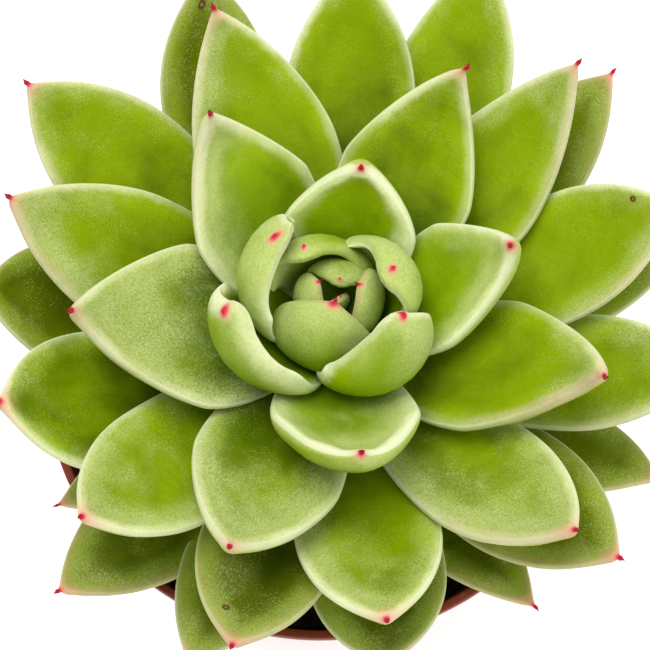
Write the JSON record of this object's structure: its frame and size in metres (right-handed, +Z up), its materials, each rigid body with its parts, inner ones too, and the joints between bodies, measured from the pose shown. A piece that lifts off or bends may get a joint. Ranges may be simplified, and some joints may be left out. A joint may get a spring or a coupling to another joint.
{
  "type": "potted succulent",
  "caption": "Rosette succulent with thick, pointed, red-tipped leaves spiralling up a short stem that stands in the soil of a round tapered plastic nursery pot.",
  "frame": {"origin": "middle of the flat underside of the pot", "axes": "+Z up out of the pot's mouth; +X to the right and +Y away from a viewer who looks down on the plant as the picture does"},
  "size_m": [0.1506, 0.1499, 0.1474],
  "materials": {
    "pot_plastic": "satin",
    "soil": "matte",
    "stem": "matte",
    "leaf_young": "satin",
    "leaf_mature": "satin",
    "leaf_old": "satin"
  },
  "bodies": {
    "root": {"pot": "pot_plastic", "soil": "soil", "stem": "stem", "leaf_00": "leaf_young", "leaf_01": "leaf_young", "leaf_02": "leaf_young", "leaf_03": "leaf_young", "leaf_04": "leaf_young", "leaf_05": "leaf_young", "leaf_06": "leaf_young", "leaf_07": "leaf_young", "leaf_08": "leaf_young", "leaf_09": "leaf_young", "leaf_10": "leaf_young", "leaf_11": "leaf_young", "leaf_12": "leaf_young", "leaf_13": "leaf_young", "leaf_14": "leaf_mature", "leaf_15": "leaf_mature", "leaf_16": "leaf_mature", "leaf_17": "leaf_mature", "leaf_18": "leaf_mature", "leaf_19": "leaf_mature", "leaf_20": "leaf_mature", "leaf_21": "leaf_mature", "leaf_22": "leaf_mature", "leaf_23": "leaf_mature", "leaf_24": "leaf_mature", "leaf_25": "leaf_mature", "leaf_26": "leaf_mature", "leaf_27": "leaf_mature", "leaf_28": "leaf_mature", "leaf_29": "leaf_mature", "leaf_30": "leaf_old", "leaf_31": "leaf_old", "leaf_32": "leaf_old", "leaf_33": "leaf_old", "leaf_34": "leaf_old", "leaf_35": "leaf_old", "leaf_36": "leaf_old", "leaf_37": "leaf_old", "leaf_38": "leaf_old", "leaf_39": "leaf_old", "leaf_40": "leaf_old", "leaf_41": "leaf_old", "leaf_42": "leaf_old", "leaf_43": "leaf_old", "leaf_44": "leaf_old", "leaf_45": "leaf_old", "leaf_46": "leaf_old", "leaf_47": "leaf_old"}
  },
  "joints": []
}
